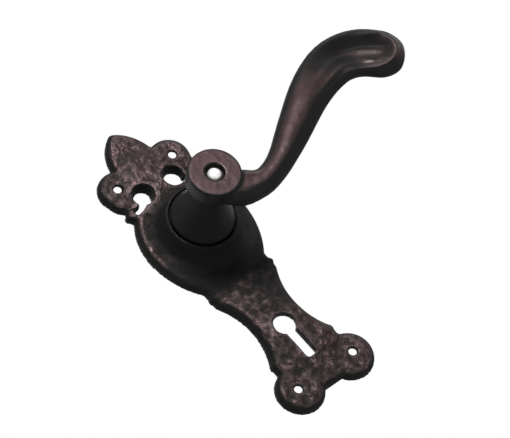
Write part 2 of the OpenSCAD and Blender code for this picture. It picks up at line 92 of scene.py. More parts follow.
def apply_modifier(obj: bpy.types.Object, kind: str, **settings: Any) -> None:
    """Adds a modifier and applies it to the mesh.

    Args:
        obj: Object whose mesh is finished.
        kind: Modifier type.
        **settings: Values of the modifier's own properties.
    """
    only_active(obj)
    modifier = obj.modifiers.new(kind.title(), kind)
    for name, value in settings.items():
        setattr(modifier, name, value)
    bpy.ops.object.modifier_apply(modifier=modifier.name)


def mesh_rows(obj: bpy.types.Object, name: str) -> Points:
    """Reads one property of a mesh's points.

    Args:
        obj: Object with the mesh.
        name: "co" for the places, in metres, or "normal".

    Returns:
        Rows of x, y and z.
    """
    flat = np.empty(len(obj.data.vertices) * 3, np.float32)
    obj.data.vertices.foreach_get(name, flat)
    return flat.reshape(-1, 3).astype(float)


def set_group(obj: bpy.types.Object, name: str, weights: Weights, levels: int = 50) -> None:
    """Writes weights to a vertex group.

    Args:
        obj: Object that gets the group.
        name: Name of the group.
        weights: One weight from 0 to 1 for each point.
        levels: Number of steps that the weights are rounded to.
    """
    group = obj.vertex_groups.new(name=name)
    steps = np.rint(np.clip(weights, 0.0, 1.0) * levels).astype(int)
    order = np.argsort(steps, kind="stable")
    bounds = np.searchsorted(steps[order], np.arange(1, levels + 2))
    for level, (first, last) in enumerate(zip(bounds[:-1], bounds[1:]), start=1):
        if last > first:
            group.add(order[first:last].tolist(), level / levels, "REPLACE")


def set_attribute(obj: bpy.types.Object, name: str, values: Weights) -> None:
    """Writes one number for each point of a mesh as an attribute that a material reads.

    Args:
        obj: Object that gets the attribute.
        name: Name of the attribute.
        values: One value for each point.
    """
    layer = obj.data.attributes.new(name, "FLOAT", "POINT")
    layer.data.foreach_set("value", values.astype(np.float32))


def relief_of(obj: bpy.types.Object, rounds: int) -> Weights:
    """Measures how far each point stands out of its surroundings.

    Args:
        obj: Object with a dense mesh.
        rounds: Number of times that the surroundings are averaged.

    Returns:
        Height above the averaged surface along the point's normal, in metres.
    """
    mesh = obj.data
    edges = np.empty(len(mesh.edges) * 2, np.int32)
    mesh.edges.foreach_get("vertices", edges)
    one, two = edges.reshape(-1, 2).T
    points = mesh_rows(obj, "co")
    size = len(points)
    count = np.maximum(np.bincount(one, minlength=size) + np.bincount(two, minlength=size), 1)
    level = points
    for _ in range(rounds):
        mean = np.empty_like(level)
        for axis, column in enumerate(level.T):
            total = np.bincount(one, column[two], size) + np.bincount(two, column[one], size)
            mean[:, axis] = total / count
        level = mean
    return np.einsum("ij,ij->i", points - level, mesh_rows(obj, "normal"))


# Zones


class Along(Enum):
    """Measure that a zone is told by, in millimetres unless it is a share."""

    X = "x"
    Y = "y"
    Z = "z"
    RADIUS = "distance from the spindle's axis"
    FRONT = "share of the surface's turn to the front"
    SIDE = "share of the plate's half width, below 0 on the left"
    SLANT = "sloping line across the body"
    HOLE = "distance from the nearest screw hole"
    COMMA = "distance from the nearest comma piercing"
    KEYHOLE = "distance from the keyhole's middle line"
    HOLLOW = "share of the hollow in the lever's end"
    ACROSS = "distance over the upper ridge of that hollow"
    GROOVE = "distance from the groove between its ridges"
    SHELF = "height over the slope behind it"
    CORNER = "distance from its lower corner"


X, Y, Z, RADIUS, FRONT = Along.X, Along.Y, Along.Z, Along.RADIUS, Along.FRONT
Measures = dict[Along, Points]


@dataclass(frozen=True)
class Zone:
    """Part of a casting's skin, told by smooth steps from 0 to 1 along its measures."""

    strength: float
    steps: tuple[tuple[Along, float, float], ...]
    less: "Zone | None" = None

    def weights(self, measures: Measures) -> Weights:
        """Weighs the points of a skin.

        Args:
            measures: Value of each measure at the points.

        Returns:
            Weights from 0 to the zone's strength, lowered by the zone that takes some away.
        """
        found = self.strength
        for along, start, end in self.steps:
            found = found * smooth_between(start, end, measures[along])
        return found if self.less is None else found * (1.0 - self.less.weights(measures))


def strongest(zones: dict[str, Zone], measures: Measures) -> Weights:
    """Gives the weight of the strongest of several zones at each point."""
    return np.max([zone.weights(measures) for zone in zones.values()], axis=0)


# Shader maths


class Socket:
    """Output of a node that takes part in expressions on values."""

    def __init__(self, book: "NodeBook", socket: bpy.types.NodeSocket) -> None:
        """Keeps the socket with the book that owns it."""
        self.book = book
        self.socket = socket

    def _maths(self, operation: str, *values: Any) -> "Socket":
        """Adds a Math node for one operation on values."""
        return self.book.node("ShaderNodeMath", {"operation": operation}, dict(enumerate(values)))

    def __add__(self, other: Any) -> "Socket":
        """Adds."""
        return self._maths("ADD", self, other)

    def __radd__(self, other: Any) -> "Socket":
        """Adds, with the number first."""
        return self._maths("ADD", other, self)

    def __sub__(self, other: Any) -> "Socket":
        """Subtracts."""
        return self._maths("SUBTRACT", self, other)

    def __rsub__(self, other: Any) -> "Socket":
        """Subtracts from a number."""
        return self._maths("SUBTRACT", other, self)

    def __mul__(self, other: Any) -> "Socket":
        """Multiplies."""
        return self._maths("MULTIPLY", self, other)

    def __abs__(self) -> "Socket":
        """Drops the sign."""
        return self._maths("ABSOLUTE", self)

    def ramp(self, low: float, high: float) -> "Socket":
        """Smooth ramp from 0 at low to 1 at high.

        Args:
            low: Value that gives 0.
            high: Value that gives 1.

        Returns:
            The ramp's value.
        """
        inputs = {"Value": self, "From Min": low, "From Max": high}
        return self.book.node("ShaderNodeMapRange", {"interpolation_type": "SMOOTHSTEP"}, inputs)

    def limited(self) -> "Socket":
        """Cuts the value to the range from 0 to 1."""
        return self._maths("MINIMUM", self._maths("MAXIMUM", self, 0.0), 1.0)


@dataclass(frozen=True)
class Pattern:
    """Cloudy noise about 0.5, as features in a metre, finer layers, their strength and a twist."""

    per_m: float
    detail: float = 2.0
    rough: float = 0.55
    twist: float = 0.0


class NodeBook:
    """Node tree of one material or world, written from nothing."""

    def __init__(self, tree: bpy.types.NodeTree) -> None:
        """Empties the tree."""
        self.tree = tree
        tree.nodes.clear()

    def node(self, kind: str, settings: dict[str, Any] | None = None,
             inputs: dict[Any, Any] | None = None, output: Any = 0) -> Socket:
        """Adds a node.

        Args:
            kind: Type of the node.
            settings: Properties that are set first.
            inputs: Values or links of its sockets, by name or number.
            output: Name or number of the output that is wanted.

        Returns:
            The wanted output.
        """
        node = self.tree.nodes.new(kind)
        for name, value in (settings or {}).items():
            setattr(node, name, value)
        for name, value in (inputs or {}).items():
            socket = node.inputs[name]
            if isinstance(value, Socket):
                self.tree.links.new(value.socket, socket)
            elif isinstance(value, tuple) and socket.type == "RGBA":
                socket.default_value = (*value, 1.0)
            else:
                socket.default_value = value
        return Socket(self, node.outputs[output] if len(node.outputs) else None)

    def attribute(self, name: str) -> Socket:
        """Reads a number that the mesh carries."""
        return self.node("ShaderNodeAttribute", {"attribute_name": name}, output="Fac")

    def noise(self, pattern: Pattern) -> Socket:
        """Lays a noise pattern in the part's own frame.

        Args:
            pattern: Size and kind of the noise.

        Returns:
            The noise's value.
        """
        inputs = {"Vector": self.node("ShaderNodeTexCoord", output="Object"), "Scale": pattern.per_m,
                  "Detail": pattern.detail, "Roughness": pattern.rough, "Distortion": pattern.twist}
        return self.node("ShaderNodeTexNoise", inputs=inputs)

    def mix(self, share: Socket | float, one: Socket | Colour, two: Socket | Colour) -> Socket:
        """Mixes two colours.

        Args:
            share: Share of the second colour.
            one: First colour.
            two: Second colour.

        Returns:
            The mixed colour.
        """
        return self.node("ShaderNodeMix", {"data_type": "RGBA"}, {0: share, 6: one, 7: two}, output=2)

    def bump(self, height: Socket, depth: float, strength: float) -> Socket:
        """Turns a height pattern into a normal.

        Args:
            height: Pattern from 0 to 1.
            depth: Height of the whole range in metres.
            strength: Share of the effect.

        Returns:
            The normal.
        """
        inputs = {"Height": height, "Distance": depth, "Strength": strength}
        return self.node("ShaderNodeBump", inputs=inputs, output="Normal")

    def rays(self) -> tuple[Socket, Socket]:
        """Reads the light path.

        Returns:
            1 for the camera's own rays, and 1 for rays that come by gloss or through glass.
        """
        names = ("Is Camera Ray", "Is Glossy Ray", "Is Transmission Ray")
        camera, glossy, through = (self.node("ShaderNodeLightPath", output=name) for name in names)
        return camera, glossy + through

    def surface(self, **inputs: Any) -> None:
        """Ends the tree in a Principled shader.

        Args:
            **inputs: Values or links of its sockets, with low lines for spaces.
        """
        named = {name.replace("_", " "): value for name, value in inputs.items()}
        shader = self.node("ShaderNodeBsdfPrincipled", inputs=named)
        self.node("ShaderNodeOutputMaterial", inputs={"Surface": shader})


# Finishes


class Region(Enum):
    """Casting that a finish is mixed for."""

    PLATE = "plate"
    LEVER = "lever"


@dataclass(frozen=True)
class WaxedIron:
    """Cast iron waxed black, with brown satin metal on faces turned to the light, which is painted light, and
    on worn places.
    """

    region: Region
    rough: float
    patchy: float
    mossy: float
    creased: float
    lit: float
    polish_and_highlight_tone: Colour
    grainy: float
    lined: float
    lumpy: float
    bump_depth: float
    bump_share: float = 0.9
    # Brown metal of faces turned to the light, which is painted light, and of worn places
    lit_brown: Colour = (0.064, 0.040, 0.042)
    moss: Colour = (0.033, 0.030, 0.026)
    ground: Colour = (0.018, 0.016, 0.0145)
    bright: Colour = (0.165, 0.118, 0.12)
    # Near-black colour of waxed places and of painted shade and shadow
    black_wax_and_shade: Colour = (0.0105, 0.0105, 0.0102)
    cloud: Pattern = Pattern(80.0, 4.0, 0.6, 0.4)
    blotch: Pattern = Pattern(240.0, 2.0, 0.5, 0.8)
    speck: Pattern = Pattern(1500.0, 2.0, 0.7)
    crease: Pattern = Pattern(170.0, 2.0, 0.5, 1.4)
    crease_w: float = 0.13
    grain: Pattern = Pattern(2600.0, 3.0, 0.65)
    raised: Span = (-0.1, 0.9)
    sunk: Span = (0.1, -0.9)
    shaded: Span = (0.42, 0.64)
    crease_wax: float = 0.8
    low_dark: float = 0.6
    polish_and_highlight_share: float = 0.6
    gloss: float = 0.1
    metal: float = 0.8
    shade_metal: float = 0.15
    low_metal: float = 0.2
    shade_rough: float = 0.05
    wax_rough: float = 0.22
    high_rough: float = 0.04
    polish_rough: float = 0.02

    def material(self) -> bpy.types.Material:
        """Builds the material.

        Returns:
            A material that reads the attributes relief, lit_and_worn, black_wax_and_shade and
            polish_and_highlight of its mesh.
        """
        made = bpy.data.materials.new(f"waxed_iron_{self.region.value}")
        made.use_nodes = True
        book = NodeBook(made.node_tree)
        relief, lit_and_worn, polish_and_highlight, wax_and_shade = map(book.attribute, ("relief", "lit_and_worn", "polish_and_highlight", "black_wax_and_shade"))
        patterns = (self.cloud, self.blotch, self.speck, self.crease, self.grain)
        cloud, blotch, speck, crease, grain = map(book.noise, patterns)
        # Share of the near-black colour, for waxed places and painted shade, broken into blotches
        wax_and_shade = (wax_and_shade + wax_and_shade * (1.0 - wax_and_shade) * (blotch - 0.5) * self.patchy).limited()
        crease = abs(crease - 0.5).ramp(0.0, self.crease_w)
        high, low = relief.ramp(*self.raised), relief.ramp(*self.sunk)
        shade = (cloud * 0.5 + blotch * 0.5).ramp(*self.shaded)
        # Share of the lit brown metal: painted light on faces turned to the light, and wear, less the
        # near-black share
        lit_and_bare = (lit_and_worn * (1.0 - wax_and_shade)).limited()
        patina = book.mix(shade * self.mossy, self.lit_brown, self.moss)
        patina = book.mix((low * self.low_dark).limited(), patina, self.ground)
        if self.creased:
            dark = (1.0 - crease) * (self.creased + wax_and_shade * self.crease_wax)
            patina = book.mix(dark.limited(), patina, self.ground)
        # Raised points mixed towards the bright tone: wear on the highs, and painted highlight
        patina = book.mix((high * (0.5 + speck * 0.5) * self.lit).limited(), patina, self.bright)
        # Lighter tone for gloss from use and for painted highlights
        patina = book.mix((polish_and_highlight * self.polish_and_highlight_share).limited(), patina, self.polish_and_highlight_tone)
        metal = lit_and_bare * (self.metal - shade * self.shade_metal - low * self.low_metal)
        rough = self.rough + shade * self.shade_rough + wax_and_shade * self.wax_rough
        rough = rough - high * self.high_rough + polish_and_highlight * self.polish_rough
        height = grain * self.grainy + crease * self.lined + blotch * self.lumpy
        book.surface(Base_Color=book.mix(lit_and_bare, self.black_wax_and_shade, patina), Metallic=metal.limited(),
                     Roughness=rough.limited(), Specular_IOR_Level=self.gloss,
                     Normal=book.bump(height, self.bump_depth, self.bump_share))
        return made


PLATE_IRON = WaxedIron(
    Region.PLATE, rough=0.46, patchy=7.0, mossy=0.5, creased=0.6, lit=0.3, polish_and_highlight_tone=WaxedIron.bright,
    grainy=0.02, lined=0.38, lumpy=0.6, bump_depth=0.4 * MM,
)
LEVER_IRON = WaxedIron(
    Region.LEVER, rough=0.35, patchy=1.5, mossy=0.2, creased=0.0, lit=0.2, polish_and_highlight_tone=(0.2, 0.178, 0.178),
    grainy=0.5, lined=0.0, lumpy=0.5, bump_depth=0.06 * MM,
)


@dataclass(frozen=True)
class BareMetal:
    """Turned, drawn or pressed metal with fine marks."""

    name: str
    colour: Colour
    dull: Colour
    rough: float = 0.3
    marks: Pattern = Pattern(900.0, 2.0, 0.6)
    mark_depth: float = 0.02 * MM
    metal: float = 1.0
    cloud: Pattern = Pattern(120.0, 3.0, 0.6, 0.6)
    tarnished: Span = (0.42, 0.72)
    tarnish_share: float = 0.7
    tarnish_rough: float = 0.14
    mark_rough: float = 0.1
    mark_share: float = 0.7

    def material(self) -> bpy.types.Material:
        """Builds the material.

        Returns:
            A metal with a tarnish pattern, fine grain and small scratches.
        """
        made = bpy.data.materials.new(self.name)
        made.use_nodes = True
        book = NodeBook(made.node_tree)
        marks = book.noise(self.marks)
        tarnish = book.noise(self.cloud).ramp(*self.tarnished)
        rough = self.rough + tarnish * self.tarnish_rough + (marks - 0.5) * self.mark_rough
        colour = book.mix(tarnish * self.tarnish_share, self.colour, self.dull)
        book.surface(Base_Color=colour, Roughness=rough.limited(), Metallic=self.metal,
                     Normal=book.bump(marks, self.mark_depth, self.mark_share))
        return made


@dataclass(frozen=True)
class MouldedPlastic:
    """Matt moulded nylon."""

    name: str
    colour: Colour
    shade: Colour
    rough: float = 0.5
    cloud: Pattern = Pattern(260.0)
    mottled: Span = (0.4, 0.7)
    mottle_rough: float = 0.2
    grain: Pattern = Pattern(3000.0)
    grain_depth: float = 0.01 * MM
    grain_share: float = 0.6

    def material(self) -> bpy.types.Material:
        """Builds the material.

        Returns:
            A plastic with faint mottling and a fine grain.
        """
        made = bpy.data.materials.new(self.name)
        made.use_nodes = True
        book = NodeBook(made.node_tree)
        cloud = book.noise(self.cloud)
        book.surface(Base_Color=book.mix(cloud.ramp(*self.mottled), self.colour, self.shade),
                     Roughness=self.rough + (cloud - 0.5) * self.mottle_rough, Metallic=0.0,
                     Normal=book.bump(book.noise(self.grain), self.grain_depth, self.grain_share))
        return made


# Castings


@dataclass(frozen=True)
class Relief:
    """One layer of a casting's uneven skin, made of a seeded pattern pushed along the normals."""

    kind: str
    size: float
    depth: float
    group: str
    settings: dict[str, Any] = field(default_factory=dict)

    def press(self, obj: bpy.types.Object) -> None:
        """Pushes the pattern into a mesh.

        Args:
            obj: Object with the vertex group that says where the pattern is strong.
        """
        texture = bpy.data.textures.new(f"{self.group}_{self.kind.lower()}", self.kind)
        texture.noise_scale = self.size
        for name, value in self.settings.items():
            setattr(texture, name, value)
        apply_modifier(obj, "DISPLACE", texture=texture, texture_coords="LOCAL", strength=self.depth,
                       mid_level=0.5, vertex_group=self.group)
        bpy.data.textures.remove(texture)


class Casting:
    """Skin of one iron casting, grown on the CAD node that it stands for."""

    node: str
    body: str
    slot: str
    voxel: float
    # Ramp and direction of painted light: faces turned that way get the lit brown metal
    lit_between: Span
    light_from: Row
    layers: tuple[Relief, ...]
    passes: dict[str, int]
    soften_share: float = 0.5
    relief_rounds: int = 14
    relief_full: float = 0.09 * MM
    relief_limit: float = 1.5

    def solid_copy(self) -> bpy.types.Object:
        """Copies the CAD node, closes its loose triangles and gives it an even, dense mesh.

        Returns:
            The copy.
        """
        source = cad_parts[self.node]
        skin = bpy.data.objects.new(f"{self.node}_skin", source.data.copy())
        bpy.context.scene.collection.objects.link(skin)
        skin.data.materials.clear()
        only_active(skin)
        bpy.ops.object.mode_set(mode="EDIT")
        bpy.ops.mesh.select_all(action="SELECT")
        bpy.ops.mesh.remove_doubles(threshold=WELD)
        bpy.ops.object.mode_set(mode="OBJECT")
        apply_modifier(skin, "REMESH", mode="VOXEL", voxel_size=self.voxel, use_smooth_shade=True)
        return skin

    def measures(self, skin: bpy.types.Object) -> Measures:
        """Measures where the points of a skin lie, for its zones.

        Args:
            skin: Object to measure.

        Returns:
            Values of the measures that all castings have.
        """
        x, y, z = mesh_rows(skin, "co").T / MM
        return {X: x, Y: y, Z: z, RADIUS: np.hypot(x, z), FRONT: -mesh_rows(skin, "normal")[:, 1]}

    def soften(self, skin: bpy.types.Object, *groups: str) -> None:
        """Rounds what stands out or is sharp, as often as the casting's passes say.

        Args:
            skin: Object to soften.
            *groups: Vertex groups that limit the work, one after the other.
        """
        for group in groups:
            apply_modifier(skin, "SMOOTH", factor=self.soften_share, iterations=self.passes[group],
                           vertex_group=group)

    def push(self, skin: bpy.types.Object, group: str, depth: float) -> None:
        """Moves a part of the skin towards the door.

        Args:
            skin: Object to shape.
            group: Vertex group that limits the work.
            depth: Distance in metres, below 0 to move away from the door.
        """
        apply_modifier(skin, "DISPLACE", direction="Y", strength=depth, mid_level=0.0, vertex_group=group)

    def dress(self, skin: bpy.types.Object, black_wax_and_shade: Weights, polish_and_highlight: Weights, worn: Weights,
              finish: WaxedIron) -> bpy.types.Object:
        """Writes what the finish reads, gives the skin its finish and puts it in the node's place.

        Args:
            skin: Object with its final shape.
            black_wax_and_shade: Share of the near-black colour at each point, for waxed black places and for
                painted shade and shadow.
            polish_and_highlight: Share of worn gloss and of painted highlights at each point.
            worn: Share of wear on flanks, which the painted light on faces turned to the light leaves out.
            finish: Finish of the casting.

        Returns:
            The same object, riding on its body.
        """
        height = relief_of(skin, self.relief_rounds) / self.relief_full
        # Faces turned towards the light get the lit brown metal, which is painted light and shade by facing
        outward = mesh_rows(skin, "normal") @ np.array(Vector(self.light_from).normalized())
        set_attribute(skin, "relief", np.clip(height, -self.relief_limit, self.relief_limit))
        set_attribute(skin, "lit_and_worn", np.maximum(smooth_between(*self.lit_between, outward), worn))
        set_attribute(skin, "black_wax_and_shade", black_wax_and_shade)
        set_attribute(skin, "polish_and_highlight", polish_and_highlight)
        skin.data.materials.append(finish.material())
        skin.data.shade_smooth()
        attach(skin, self.body)
        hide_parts(self.node)
        LOG.info("%s: %d faces", skin.name, len(skin.data.polygons))
        return skin


@dataclass
class LockPlate(Casting):
    """Cast plate: hammered head and tail, smoother body and dome, plain hollow back."""

    node: str = "backplate"
    body: str = "plate"
    slot: str = "plate_iron"
    voxel: float = 0.45 * MM
    # Painted light from the front: front faces get the lit brown metal, the sides stay dark
    lit_between: Span = (0.74, 0.96)
    light_from: Row = (0.0, -1.0, 0.0)
    layers: tuple[Relief, ...] = (
        Relief("CLOUDS", 8 * MM, 0.8 * MM, "rough"),
        Relief("CLOUDS", 4.4 * MM, 1.0 * MM, "rough"),
        Relief("MARBLE", 4.5 * MM, 0.3 * MM, "rough", {"turbulence": 8.0}),
    )
    passes: dict[str, int] = field(default_factory=lambda: {
        "edges": 3, "rim": 12, "brim": 14, "tip": 60, "front": 8,
    })
    # Places in millimetres, as in the part's frame
    half_widths: tuple[Place, ...] = (
        (-75.0, 17.2), (-67.0, 15.0), (-58.0, 12.6), (-50.0, 12.3), (-42.0, 13.2), (-34.0, 16.0),
        (-28.0, 19.0), (-20.0, 23.5),
    )
    screw_x: float = 15.5
    screw_z: Place = (36.0, -84.0)
    comma: Place = (8.6, 27.1)
    keyhole_z: Span = (-75.0, -57.0)
    slant: float = 0.25
    case_r: float = 25.0
    case_front: float = -6.5
    case_facing: float = 0.5
    # Where the skin is uneven, swollen or rounded
    front: Zone = Zone(1.0, ((Y, -0.2, -0.9), (FRONT, -0.5, -0.1)))
    drilled: Zone = Zone(1.0, ((Along.HOLE, 2.4, 4.0),))
    head: Zone = Zone(0.6, ((Z, 19.5, 23.5),))
    tail: Zone = Zone(1.1, ((Z, -24.5, -28.5),))
    flat: Zone = Zone(0.94, ((FRONT, 0.75, 0.95),))
    bevel_relief: float = 0.06
    body_relief: float = 0.2
    swell: float = 1.3 * MM
    swell_waist: Zone = Zone(1.0, ((Z, -22.0, -34.0), (Z, -80.0, -70.0)))
    swell_body: Zone = Zone(1.0, ((RADIUS, 26.5, 20.0), (Z, 20.0, 12.0)))
    swell_face: Zone = Zone(1.0, ((Y, -1.6, -3.4), (FRONT, -0.4, 0.2), (RADIUS, 15.6, 17.5)))
    head_rim: Zone = Zone(1.0, ((Z, 24.0, 30.0), (Along.COMMA, 6.2, 8.2)))
    foot_rim: Zone = Zone(1.0, ((Z, -58.0, -66.0), (Along.KEYHOLE, 4.5, 6.5)))
    brim: Zone = Zone(1.0, ((RADIUS, 18.0, 20.0), (RADIUS, 28.0, 26.0), (Z, 16.0, 12.0), (Z, -27.0, -22.0)))
    tip: Zone = Zone(1.0, ((Z, 55.8, 59.8),))
    # Where the iron is waxed black or worn, where shade and shadow are painted dark, and where a highlight is
    # painted
    # Painted highlight along the crest near the left edge of the waist
    highlight_streak: Zone = Zone(1.0, ((Along.SIDE, -0.3, -0.5), (Along.SIDE, -0.92, -0.72), (Z, -27.0, -33.0),
                              (Z, -66.0, -56.0)))
    highlight_streak_lift: float = 0.25
    highlight_streak_shine: float = 0.1
    worn_back: Zone = Zone(0.5, ((FRONT, -0.2, -0.7),))
    wax_and_shade: dict[str, Zone] = field(default_factory=lambda: {
        # Dome waxed black, lifted on the lip's crest at the left as a painted highlight
        "dome": Zone(0.95, ((RADIUS, 22.0, 18.5),), Zone(0.6, ((Y, -15.4, -16.1), (X, 6.0, -10.0)))),
        "ring": Zone(0.6, ((RADIUS, 24.5, 21.5),)),
        # Painted shadow of the handle over the right of the body
        "right": Zone(0.95, ((X, 4.0, 16.0), (RADIUS, 27.0, 24.0))),
        # Painted shadow of the handle on the body below and right of the dome
        "below": Zone(0.95, ((Z, -38.0, -27.0), (Z, 0.0, -9.0), (Along.SLANT, -31.0, -22.0))),
        "brim": Zone(0.35, ((RADIUS, 20.0, 22.0), (Z, 14.0, 8.0), (Z, -32.0, -26.0))),
        # Waist waxed black, about twice as dark on the right, where the extra is painted shadow of the handle
        "waist": Zone(0.78, ((Z, -26.0, -32.0), (Z, -58.0, -46.0)), Zone(0.42 / 0.78, ((X, 6.0, -6.0),))),
        # Foot, lower lobes and left petal: darker on the left, which dulls the lamps' sheen there
        "foot": Zone(0.32, ((Z, -46.0, -58.0),), Zone(0.27 / 0.32, ((X, -2.0, 12.0),))),
        "lower lobes": Zone(0.34, ((Z, -74.0, -80.0),), Zone(0.1 / 0.34, ((X, -2.0, 12.0),))),
        "left petal": Zone(0.35, ((X, -9.0, -15.0), (Z, 24.0, 28.0))),
        # Painted shade on the plate's rounded outer edges
        "outline": Zone(0.75, ((Y, -4.4, -3.7), (RADIUS, 24.0, 28.0))),
    })

    def build(self) -> bpy.types.Object:
        """Builds the plate's skin.

        Returns:
            The dressed casting.
        """
        skin = self.solid_copy()
        at = self.measures(skin)
        in_case = (at[RADIUS] < self.case_r) & (at[Y] > self.case_front) & (at[FRONT] < self.case_facing)
        front = self.front.weights(at) * np.where(in_case, 0.0, 1.0)
        off_holes = front * self.drilled.weights(at)
        uneven = np.maximum(self.head.weights(at), self.tail.weights(at))
        uneven = self.body_relief + (1.0 - self.body_relief) * uneven
        swell = np.maximum(self.swell_waist.weights(at) * np.clip(1.0 - at[Along.SIDE] ** 2, 0.0, 1.0),
                           self.swell_body.weights(at))
        set_group(skin, "front", front)
        set_group(skin, "rough", off_holes * uneven * (self.bevel_relief + self.flat.weights(at)))
        set_group(skin, "swell", swell * self.swell_face.weights(at))
        set_group(skin, "edges", off_holes)
        set_group(skin, "rim", off_holes * np.maximum(self.head_rim.weights(at), self.foot_rim.weights(at)))
        set_group(skin, "brim", front * self.brim.weights(at))
        self.push(skin, "swell", -self.swell)
        self.soften(skin, "edges", "rim", "brim")
        set_group(skin, "tip", self.tip.weights(self.measures(skin)))
        self.soften(skin, "tip")
        for layer in self.layers:
            layer.press(skin)
        self.soften(skin, "front")
        at = self.measures(skin)
        # Painted highlight on the waist's left crest: less of the near-black colour, more of the bright tone
        highlight_streak = self.highlight_streak.weights(at)
        black_wax_and_shade = strongest(self.wax_and_shade, at) * (1.0 - self.highlight_streak_lift * highlight_streak)
        return self.dress(skin, black_wax_and_shade, self.highlight_streak_shine * highlight_streak, self.worn_back.weights(at), PLATE_IRON)

    def measures(self, skin: bpy.types.Object) -> Measures:
        """Adds the plate's own measures to those of all castings.

        Args:
            skin: Object to measure.

        Returns:
            Values of the measures.
        """
        at = super().measures(skin)
        x, z = at[X], at[Z]
        at[Along.SIDE] = x / np.interp(z, *np.array(self.half_widths).T)
        at[Along.SLANT] = x + self.slant * z
        at[Along.HOLE] = np.min([np.hypot(np.abs(x) - self.screw_x, z - row) for row in self.screw_z], axis=0)
        at[Along.COMMA] = np.hypot(np.abs(x) - self.comma[0], z - self.comma[1])
        at[Along.KEYHOLE] = np.hypot(x, z - np.clip(z, *self.keyhole_z))
        return at


@dataclass(frozen=True)
class Ridge:
    """Straight ridge on the floor of the hollow, between two places of x and z in millimetres."""

    start: Place
    end: Place

    def share(self, flat: Points) -> Weights:
        """Says how far along the ridge each point lies, with 0 at its start and 1 at its end."""
        run = np.subtract(self.end, self.start)
        return (flat - self.start) @ run / (run @ run)

    def gap(self, flat: Points, share: Weights) -> Points:
        """Measures the distance of each point from its own place along the ridge.

        Args:
            flat: Rows of x and z.
            share: Place of each row along the ridge.

        Returns:
            Distances in millimetres.
        """
        run = np.subtract(self.end, self.start)
        return np.hypot(*(flat - self.start - share[:, None] * run).T)


